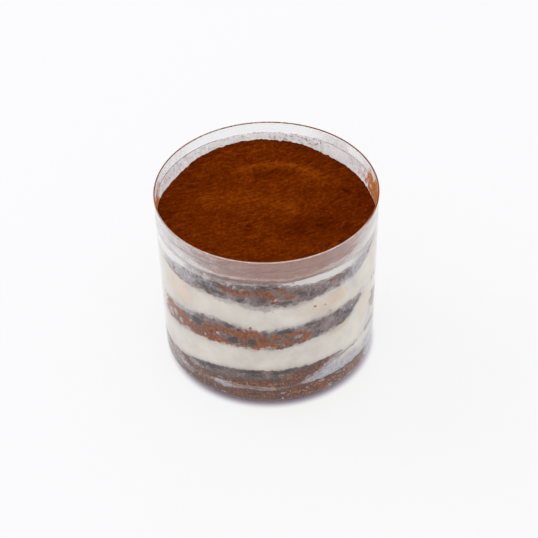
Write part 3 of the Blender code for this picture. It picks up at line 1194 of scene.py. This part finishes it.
@dataclass(frozen=True)
class Film:
    """The thin film on the bare wall above the filling, up to just under the lip: condensation and cocoa dust."""

    form: CupForm
    cocoa: tuple[Patch, ...]
    frost: tuple[Patch, ...]
    flecks: tuple[Patch, ...]
    low: float = 61.5 * MM
    columns: int = 620
    rows: int = 46
    stand_off: float = 0.02 * MM
    thickness: float = 0.02 * MM
    # how much of the wall the mist hides, and how warm it is, by azimuth from the back round to the front
    azimuths: tuple[float, ...] = (-180, -135, -110, -92, -70, -42, -25, 0, 25, 42, 60, 80, 110, 140, 180)
    cover: tuple[float, ...] = (.62, .60, .60, .66, .67, .62, .50, .45, .46, .50, .60, .70, .66, .70, .62)
    warmth: tuple[float, ...] = (.05, .05, .1, .1, .12, .42, .8, 1, 1, .85, .4, .1, .05, .1, .05)

    def masks(self, azimuth: np.ndarray, height: np.ndarray, points: np.ndarray) -> dict[Mask, np.ndarray]:
        """What the film's material needs to know.

        Args:
            azimuth: The points' azimuths, -180 to 180 degrees.
            height: Their heights.
            points: The points.

        Returns:
            Values for each mask.
        """
        behind = smooth(96, 120, np.abs(azimuth))
        stretched = points * np.array([1, 1, 0.35])
        streaks = noise_at(stretched, 1.5 * MM, 3, 200)
        cloud = noise_at(points, 7 * MM, 2, 201)
        wiped = noise_at(points * np.array([0.22, 0.22, 1]), 1.1 * MM, 3, 204)
        border = self.form.ledge + 0.25 * MM * noise_at(points, 2 * MM, 2, 202)
        clear = smooth(-0.3 * MM, 0.3 * MM, height - border)
        right = smooth(160, 138, azimuth) * (azimuth > 0)
        left = smooth(-138, -128, azimuth) * (azimuth < 0)
        swipe = smooth(9, 5, np.abs(azimuth - 123)) * smooth(71 * MM, 72 * MM, height)
        kept = np.clip(1 - behind * clear * (1 - np.maximum(right, 0.55 * left)), 0, 1) * (1 - 0.8 * swipe)
        cover = np.interp(azimuth, self.azimuths, self.cover)
        levels = {Level.FLOOR: height / MM}
        rough = 0.6 * streaks + 0.4 * noise_at(points, 2.2 * MM, 3, 203) + 0.3 * noise_at(points, 0.9 * MM, 2, 205)
        frost = blotches(self.frost, azimuth, levels, rough)
        wiped = wiped * smooth(80, 40, np.abs(azimuth))
        cover = cover * (1 + 0.16 * behind * streaks + 0.34 * wiped + 0.16 * cloud) * kept
        cover = cover + (0.9 - cover) * frost
        return {Mask.MIST: 1 - np.sqrt(1 - np.clip(cover, 0.03, 0.93)),
                Mask.WARM: (np.interp(azimuth, self.azimuths, self.warmth)
                            + 0.2 * cloud * (1 - behind) - 0.3 * wiped) * (1 - 0.8 * frost),
                Mask.DUST: blotches(self.cocoa, azimuth, levels, rough),
                Mask.FLECK: blotches(self.flecks, azimuth, levels, rough) * kept}

    def build(self, material: bpy.types.Material) -> bpy.types.Object:
        """Makes the film, as a thin closed band.

        Args:
            material: Its material.

        Returns:
            The piece.
        """
        azimuth = (np.arange(self.columns) * 360 / self.columns + 180) % 360 - 180
        high = self.form.height - 0.7 * MM
        heights = np.linspace(self.low, high, self.rows)
        outer = self.form.bare(heights) - self.stand_off
        rings, parts = [], []
        for radius, order in ((outer, range(self.rows)), (outer - self.thickness, reversed(range(self.rows)))):
            for row in order:
                level = np.full(self.columns, heights[row])
                rings.append(around(azimuth, np.full(self.columns, radius[row]), level))
                parts.append(self.masks(azimuth, level, rings[-1]))
        count = self.columns
        faces = []
        for ring in range(len(rings)):
            faces += ring_faces(ring * count, (ring + 1) % len(rings) * count, count)
        masks = {mask: np.concatenate([part[mask] for part in parts]) for mask in parts[0]}
        piece = make_piece("condensation", np.concatenate(rings), faces, material, masks)
        fit(piece, Slot.PLASTIC)
        return piece


@dataclass(frozen=True)
class LipFilm:
    """What the lip catches: light on its moulded edge at the front, cocoa at the back and the sides."""

    form: CupForm
    columns: int = 620
    steps: int = 9
    lift: float = 0.008 * MM
    azimuths: tuple[float, ...] = (-180, -150, -110, -90, -76, -60, 0, 55, 66, 80, 100, 125, 150, 180)
    # how strongly the lip's pale film covers it, by azimuth: a painted highlight on the lit edge, strongest at the
    # front
    cover: tuple[float, ...] = (.62, .55, .50, .62, .70, .82, .90, .90, .92, .92, .92, .80, .62, .62)
    dust: tuple[float, ...] = (.56, .54, .52, .62, .56, .20, .10, .25, .72, 1.0, 1.1, 1.0, .72, .56)

    def build(self, material: bpy.types.Material) -> None:
        """Makes the film over the lip.

        Args:
            material: Its material.
        """
        form = self.form
        azimuth = (np.arange(self.columns) * 360 / self.columns + 180) % 360 - 180
        half = (form.wall - form.ledge_step) / 2
        middle, crown = form.rim_radius - form.shrink - half, form.height - form.shrink - half
        last = 100 + 95 * smooth(70, 95, np.abs(azimuth))
        sweep = np.radians(-15 + (last + 15) * np.linspace(0, 1, self.steps)[:, None])
        rings = []
        for reach, order in ((half + self.lift, sweep), (half - self.lift, sweep[::-1])):
            for turn in order:
                rings.append(around(azimuth, middle + reach * np.cos(turn), crown + reach * np.sin(turn)))
        count = self.columns
        faces = []
        for ring in range(len(rings)):
            faces += ring_faces(ring * count, (ring + 1) % len(rings) * count, count)
        points = np.concatenate(rings)
        every = np.tile(azimuth, len(rings))
        rough = noise_at(points, 1.6 * MM, 3, 210)
        # the pale cover is a painted highlight on the lip's edge; the dust is cocoa caught on it
        masks = {Mask.MIST: 1 - np.sqrt(1 - np.clip(np.interp(every, self.azimuths, self.cover) * (1 + 0.2 * rough),
                                                    0, 0.97)),
                 Mask.WARM: np.full(len(points), 0.75),
                 Mask.FLECK: np.full(len(points), 0.1),
                 Mask.DUST: np.interp(every, self.azimuths, self.dust) + 0.16 * rough}
        fit(make_piece("lip_film", points, faces, material, masks), Slot.PLASTIC)


@dataclass(frozen=True)
class Scatter:
    """Small lumps scattered over a surface by Geometry Nodes, thick where the surface's dust mask is high."""

    name: str
    size_mm: float
    per_square_cm: float
    seed: int

    def tree(self) -> bpy.types.NodeTree:
        """The node tree, with its sizes as inputs."""
        tree = bpy.data.node_groups.new(self.name + "_scatter", "GeometryNodeTree")
        face = tree.interface
        face.new_socket("Surface", in_out="INPUT", socket_type="NodeSocketGeometry")
        for label, kind in (("Density", "NodeSocketFloat"), ("Size", "NodeSocketFloat"),
                            ("Seed", "NodeSocketInt"), ("Material", "NodeSocketMaterial")):
            face.new_socket(label, in_out="INPUT", socket_type=kind)
        face.new_socket("Lumps", in_out="OUTPUT", socket_type="NodeSocketGeometry")
        given = add(tree, "NodeGroupInput").outputs
        where = add(tree, "GeometryNodeInputNamedAttribute", {"Name": Mask.DUST.value}, data_type="FLOAT")
        thick = add(tree, "ShaderNodeMath", {0: where.outputs["Attribute"], 1: given["Density"]},
                    operation="MULTIPLY")
        spread = add(tree, "GeometryNodeDistributePointsOnFaces",
                     {"Mesh": given["Surface"], "Density": thick.outputs[0], "Seed": given["Seed"]})
        lump = add(tree, "GeometryNodeMeshIcoSphere", {"Radius": given["Size"], "Subdivisions": 2})
        turn = add(tree, "FunctionNodeRandomValue", {"Min": (0.0, 0.0, 0.0), "Max": (6.28, 6.28, 6.28)},
                   data_type="FLOAT_VECTOR")
        scale = add(tree, "FunctionNodeRandomValue", {"Min": (0.35, 0.35, 0.3), "Max": (1.0, 1.0, 0.8)},
                    data_type="FLOAT_VECTOR")
        placed = add(tree, "GeometryNodeInstanceOnPoints",
                     {"Points": spread.outputs["Points"], "Instance": lump.outputs["Mesh"],
                      "Rotation": turn.outputs["Value"], "Scale": scale.outputs["Value"]})
        real = add(tree, "GeometryNodeRealizeInstances", {"Geometry": placed.outputs[0]})
        soft = add(tree, "GeometryNodeSetShadeSmooth", {"Geometry": real.outputs[0]})
        dressed = add(tree, "GeometryNodeSetMaterial", {"Geometry": soft.outputs[0], "Material": given["Material"]})
        add(tree, "NodeGroupOutput", {"Lumps": dressed.outputs[0]})
        return tree

    def build(self, points: np.ndarray, faces: list, dust: np.ndarray, material: bpy.types.Material,
              slot: Slot) -> None:
        """Scatters the lumps.

        Args:
            points: The surface's vertices.
            faces: Its faces.
            dust: How thickly each vertex is strewn, 0 to 1.
            material: The lumps' material.
            slot: Not used; it is only passed on to fit.
        """
        mesh = bpy.data.meshes.new(self.name + "_ground")
        mesh.from_pydata(points.tolist(), [], faces)
        mesh.attributes.new(Mask.DUST.value, "FLOAT", "POINT").data.foreach_set("value", dust.astype(np.float32))
        thinned = 1.0
        piece = solid_from(mesh, self.name, self.tree(), material,
                           {"Density": self.per_square_cm * 1e4 * thinned, "Size": self.size_mm * MM / 2,
                            "Seed": self.seed, "Material": material})
        fit(piece, slot)


# ---------------------------------------------------------------- this tiramisu


def under(azimuth: float, height_mm: float, half_width: float, half_height_mm: float,
          strength: float = 1.0) -> Patch:
    """A blotch measured up from its layer's underside."""
    return Patch(azimuth, height_mm, half_width, half_height_mm, strength, Level.UNDERSIDE)


def below(azimuth: float, depth_mm: float, half_width: float, half_height_mm: float,
          strength: float = 1.0) -> Patch:
    """A blotch measured down from its layer's top."""
    return Patch(azimuth, -depth_mm, half_width, half_height_mm, strength, Level.TOP)


# The mist patches at about 55 to 85 degrees, and a few at the left, lighten the layers towards the cup's sides: partly
# mist, partly a painted reflection of the bright table that the wall shows at grazing angles.
LOOKS = (
    LayerLook("sponge_1", DEEP_SPONGE, {
        Mask.SOAK: (Patch(8, 6, 46, 5), Patch(-40, 7, 14, 3, .8), Patch(150, 5, 40, 4), Patch(-130, 5, 30, 4, .8),
                    Patch(58, 7, 14, 5, .9), Patch(-62, 6.5, 16, 3.5, .8)),
        Mask.WET: (Patch(14, 7.0, 12, 1.6, .85), Patch(33, 7.2, 16, 2.4, .95), Patch(-20, 6.2, 11, 1.2, .75),
                   Patch(-38, 8, 8, 1.0, .6), Patch(-2, 5.6, 9, .9, .6), Patch(50, 6.6, 9, 2.2, .92),
                   Patch(22, 4.6, 12, .9, .6)),
        Mask.MIST: (Patch(-64, 6.5, 10, 2, .5), Patch(74, 6.5, 13, 6, .9), Patch(0, 1.6, 180, 0.6, .5),
                    Patch(6, 7, 1.4, .7), Patch(28, 9.0, 2.4, .6, .9), Patch(34, 5, 2, .5, .8),
                    Patch(40, 9.0, 2.0, .6),
                    below(-25, .3, 7, .6, .7), Patch(54, 2.2, 26, 1.3, .62), Patch(36, 7.4, .8, .5, .8),
                    Patch(44, 7.8, .9, .5, .8), Patch(20, 7.8, .9, .4, .7), Patch(-50, 7.6, 8, 1.4, .5)),
        Mask.HOLLOW_SHADE: (Patch(-8, 6.8, 4, .6, .6), Patch(24, 5.6, 4, .7, .55), Patch(2, 4.4, 5, .6, .5),
                      below(33, .3, 3, .6, .8), below(41, .4, 2.6, .7, .85), below(47, .3, 2, .5, .8)),
    }, 0.45, bleed=0.3),
    LayerLook("cream_1", CREAM, {
        Mask.SOAK: (Patch(12, 9.4, 14, 3.0, .95), Patch(-50, 10, 9, 1.6, .8)),
        Mask.WARM: (Patch(-11, 9.3, 15, 2.8, 1), Patch(-40, 9.4, 12, 2.2, .9), Patch(-66, 10, 14, 4, .95),
                    below(46, .3, 9, .9, .7)),
        Mask.MIST: (Patch(38, 12, 20, 4.5, 1), Patch(-26, 8.7, 8, 1.2, 1), Patch(-56, 9.5, 5, 1.4, .8),
                    Patch(64, 11, 16, 4, .8), Patch(78, 12, 12, 7, .7)),
        Mask.WET: (Patch(34, 12.4, .5, .4), Patch(43, 11.0, .6, .4), Patch(50, 13, .5, .4),
                   Patch(30, 10.6, .8, .4, .8), Patch(38, 11.8, .4, .3), Patch(47, 14.2, .4, .3)),
    }, 0.35, bleed=0.5),
    LayerLook("sponge_2", DEEP_SPONGE, {
        Mask.SOAK: (under(0, 1.8, 34, 2.6), under(-52, 2.2, 22, 2.6, .8), Patch(24, 15, 14, 5), Patch(38, 18.5, 10, 3),
                    Patch(150, 13, 40, 5), Patch(-140, 13, 30, 4, .8)),
        Mask.WET: (under(-6, 1.4, 20, 1.3, .62), under(-40, 1.4, 9, 1.0, .55), Patch(12, 15.5, 7, 1.4, .6),
                   Patch(28, 15.8, 6, 1.6, .7), under(-18, .6, 16, .6, .6), Patch(20, 13.6, 12, 1.2, .62),
                   Patch(34, 18.0, 7, 1.2, .62), under(-62, 1.6, 9, 1.2, .6)),
        Mask.MIST: (Patch(-60, 11.5, 7, 1.8, .6), Patch(-44, 13.5, 6, 1.4, .55), Patch(-52, 14.8, 8, 1.0, .45),
                    below(60, 1, 8, 2, .6),
                    under(38, -.4, 20, 3.2, .75), under(-25, .2, 7, .6, .75), Patch(74, 16, 12, 8, .8)),
        Mask.HOLLOW_SHADE: (below(-14, 1.2, 8, 1.0, .6), below(6, 1.4, 7, 1.1, .65), below(20, 1.2, 4, .9, .55),
                      below(-34, 1.4, 8, 1.2, .6)),
    }, 0.35, pinch_mm=2.1, bleed=0.4),
    LayerLook("cream_2", CREAM, {
        Mask.MIST: (Patch(68, 22, 8, 7, .5), Patch(84, 38, 6, 8, .4), Patch(73, 31, 4, 3, .3)),
        Mask.STAIN: (under(4, .8, 24, 1.0, .35), below(40, 1.2, 10, 1.5, .5), Patch(60, 33, 8, 8, .45)),
        Mask.SOAK: (Patch(75, 30.0, 6.5, 5.0),),
    }, 0.5),
    LayerLook("sponge_3", SPONGE, {
        Mask.SOAK: (Patch(-58, 35, 16, 5, .9), Patch(-36, 34, 12, 5, .9), Patch(-8, 35, 14, 5, .9), Patch(14, 35, 9, 4, .8),
                    Patch(160, 36, 30, 6), Patch(-130, 36, 24, 5)),
        Mask.WET: (Patch(-60, 36.0, 12, 2.8, .85), Patch(-66, 33, 7, 3.5, .8), Patch(-50, 32.5, 15, 2.8, .8),
                   Patch(-33, 36, 5.5, 3.8, .9), Patch(-30, 32, 11, 2.4, .85), Patch(-25, 38.2, 8, 1.7, .85),
                   Patch(-13, 38.0, 8, 2.4, .88), Patch(-4, 34.5, 5, 3.4, .85), Patch(0, 32.3, 7, 1.8, .8),
                   Patch(4, 37, 3, 2.0, .75), Patch(14, 38, 6.5, 1.1, .85), Patch(19.5, 35, 2.0, 2.4, .85),
                   Patch(9, 34.6, 3.4, 1.1, .8), under(-20, .7, 34, .7, .75), under(-62, .7, 12, 1.0, .8)),
        Mask.HOLLOW_SHADE: (Patch(-41, 37.6, 3.4, 1.9), Patch(-19.5, 34.4, 2.9, 1.8), Patch(-9.5, 34.6, 2.0, 1.7),
                      Patch(7, 39.6, 6, 1.0, .7), Patch(2, 41, 3, .7, .7), Patch(22, 41, 4, .9, .6),
                      Patch(-16, 40.2, 1.6, .9, .8)),
        Mask.MIST: (below(-52, .9, 11, 1.2, .9), below(-30, .6, 6, .6, .7), Patch(-59, 33.4, 2.2, 1.4),
                    Patch(-54, 31.8, 1.8, 1.3), Patch(-64, 31.4, 2.2, 2.4, .8), Patch(-48, 30.6, 2.4, 1.2, .7),
                    Patch(-36, 32.6, .8, .6), Patch(-28, 35.8, 1.2, .9, .9), below(14, .5, 4, .8),
                    Patch(15, 36.2, 2.6, .9, .7), below(46, 2, 8, 2.4, .45)),
        Mask.SMEAR: (Patch(62, 46, 8, 8), Patch(-80, 36, 11, 10)),
    }, 0.6, pinch_mm=3.0),
    LayerLook("cream_3", CREAM, {
        Mask.STAIN: (Patch(30, 48, 18, 4.5, .45), Patch(38, 50, 8, 3.5, .6), Patch(-54, 48, 16, 5, .5),
                     Patch(72, 52, 7, 9, .5)),
        Mask.WET: (Patch(24, 49.6, 1.1, .55, .8), Patch(30, 48.5, .6, .35, .7), Patch(33, 44.7, .7, .4, .7),
                   Patch(-10, 41.6, .9, .9), below(-62, .3, 5, .45, .8), below(-53, .35, 5, .45, .9),
                   below(-44, .35, 5, .5, .85)),
        Mask.EDGE: (below(-7, .8, 10, 1.8, .9), below(-24, .5, 8, 1.2, .6), below(14, .6, 12, 1.1, .55)),
        Mask.MIST: (below(-6, 1.6, 9, 1.2, .4), below(-40, .6, 8, .9, .4), Patch(85, 52, 7, 12, .45),
                    below(48, .5, 10, 1.2, .4)),
    }, 0.45),
    LayerLook("sponge_4", SPONGE, {
        Mask.SOAK: (Patch(-2, 59, 24, 3.0, .5), Patch(160, 58, 30, 5), Patch(-150, 58, 20, 4)),
        Mask.WET: (Patch(-24, 60.4, 4, .9, .8), Patch(-18.5, 59.2, 4.6, 1.3, .88), Patch(-11.5, 59.8, 2.8, 1.4, .85),
                   Patch(-6, 60.4, 3.4, .9, .8), Patch(-1, 59.3, 3.4, 1.9, .85), Patch(2, 57.2, 2.4, 1.2, .85),
                   Patch(6, 61.2, 2.8, .8, .8), Patch(8, 59.4, 2.8, .7, .8), Patch(2.5, 55.0, 1.8, .9, .9),
                   Patch(11, 57, 3.4, .8, .8), Patch(34, 59.6, 1.8, .8, .85), Patch(39, 60, 1.3, .6, .85),
                   under(-54, .5, 14, .6, .9)),
        Mask.MIST: (Patch(-50, 58.6, 12, 3.4, .8), Patch(-38, 59.4, 9, 2.6, .5), Patch(55, 59, 10, 6, .9), Patch(-64, 60, 9, 6), Patch(45, 56, 8, 3, .6),
                    below(20, .5, 14, .7, .4), below(-20, .4, 20, .5, .6), Patch(26, 58, 9, 2.4, .3)),
        Mask.HOLLOW_SHADE: (Patch(-3, 62.6, 1.8, .6, .9), Patch(3, 62.2, 1.6, .6, .9), Patch(-35, 59.6, 1.2, .5),
                      Patch(0, 61.6, 4, .6, .6), Patch(7, 54.5, 6, 1.0, .6), Patch(-26, 57, 5, 1.1, .6),
                      Patch(17, 58, 3, .8, .6), Patch(-36, 58, 5, 1.4, .5)),
        Mask.SMEAR: (Patch(-77, 58, 11, 9), Patch(-58, 61, 9, 2.6, .5), Patch(79, 59, 11, 9)),
    }, 0.35),
    LayerLook("cream_4", CREAM, {
        Mask.WARM: (Patch(-15, 64.4, 25, 2.6), Patch(-40, 63.6, 9, 1.4, .5)),
        Mask.MIST: (Patch(-24, 63.6, 10, .8, .55), Patch(-4, 64.0, 6, .5, .45), Patch(60, 65, 10, 4, .55),
                    Patch(-40, 63, 8, 2, .5)),
        Mask.SMEAR: (Patch(28, 64, 24, 5), Patch(-60, 62, 26, 6)),
    }, 0.2, bleed=0.0),
    LayerLook("cocoa", None, {}),
)

RIDGES = (
    Ridge(((-9, 22.5), (-4, 25), (5, 25.5), (13, 23), (20, 18)), 0.75, 2.2),
    Ridge(((-2, 19), (6, 19.5)), -0.5, 3.0),
    Ridge(((-22, 4), (-8, 6), (4, 3), (10, -3)), 0.45, 4.5),
    Ridge(((12, -12), (24, -8)), -0.5, 6.0),
    Ridge(((18, 24), (28, 17)), 0.35, 2.0),
    Ridge(((30, 12), (32.5, 11)), -0.9, 0.5),
    Ridge(((27, -20), (28.5, -20)), -0.9, 0.5),
    Ridge(((19, -10.5), (21, -10)), -0.9, 0.45),
    Ridge(((-7.5, -11), (-6.8, -11.2)), -0.8, 0.5),
    Ridge(((-12, -9.5), (-11.7, -9.4)), -0.5, 0.45),
    Ridge(((22, -1.5), (23.5, -1.2)), -0.5, 0.5),
)

WALL_COCOA = (
    Patch(-92, 67, 8, 5, .9), Patch(-84, 65, 6, 4, 1), Patch(-100, 71.5, 9, 2.5, .45), Patch(-112, 68, 9, 2, .4),
    Patch(84, 71, 8, 7, 1), Patch(96, 69, 10, 6, .9), Patch(105, 69, 9, 4, .7), Patch(112, 66.5, 12, 2, .5),
    Patch(-170, 70.3, 60, .45, .42), Patch(130, 70.4, 14, .4, .4), Patch(88, 66.5, 10, 1.5, .8),
    Patch(98, 64.8, 15, 1.7, 1), Patch(-92, 66.4, 9, 2.4, 1),
)

WALL_FROST = (
    Patch(-52, 67.6, 6, 1.8, .7), Patch(-43, 66.8, 7, 1.3, .7), Patch(-34, 66.2, 7, .9, .6),
    Patch(-20, 66.0, 10, .7, .45), Patch(-50, 73.2, 9, .8, .35), Patch(38, 67.0, 12, .9, .35),
    Patch(52, 67.2, 8, 1.4, .5), Patch(66, 66.5, 8, 3, .55), Patch(58, 70, 6, 2.5, .3),
)

WALL_FLECKS = (
    Patch(0, 70, 180, 10, .05), Patch(162, 68.6, 20, 2.2, .17), Patch(-118, 68.3, 20, 3, .18),
    Patch(-152, 68.6, 24, 2, .13), Patch(122, 68, 12, 3, .15), Patch(-100, 70, 8, 3, .12),
    Patch(-58, 70.6, 6, 2.6, .13), Patch(-38, 71, 12, 2.2, .12),
)


def main() -> None:
    """Builds the scene."""
    logging.basicConfig(level=logging.INFO, format="%(name)s: %(message)s")
    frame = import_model()
    low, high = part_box("cup")
    form = CupForm(rim_radius=(high.x - low.x) / 2, height=high.z - low.z)
    Studio(form).build()
    Cup(form).build()

    seams = Seams(frame["nodes"], tuple(look.node for look in LOOKS), form)
    heights = Filling(form, seams, LOOKS).build()
    powder = CocoaPowder().build()
    cocoa = CocoaTop(form, seams, RIDGES)
    cocoa.build(powder, heights[len(LOOKS) - 1])

    film_finish = WallFilm().build()
    film = Film(form, WALL_COCOA, WALL_FROST, WALL_FLECKS).build(film_finish)
    # the lip's copy of the film paints a highlight on its edge, with cocoa at the back and the sides
    LipFilm(form).build(WallFilm(warm="#ecc9b4", cocoa="#8a3c00", tan="#b0642a").build())
    ground, _ = cocoa.surface(60)
    side = 61
    grid = np.arange(side * side).reshape(side, side)
    faces = np.stack([grid[:-1, :-1], grid[:-1, 1:], grid[1:, 1:], grid[1:, :-1]], -1).reshape(-1, 4).tolist()
    Scatter("cocoa_lumps", 0.42, 22.0, 5).build(ground, faces, np.ones(len(ground)), powder, Slot.COCOA)


if __name__ == "__main__":
    main()
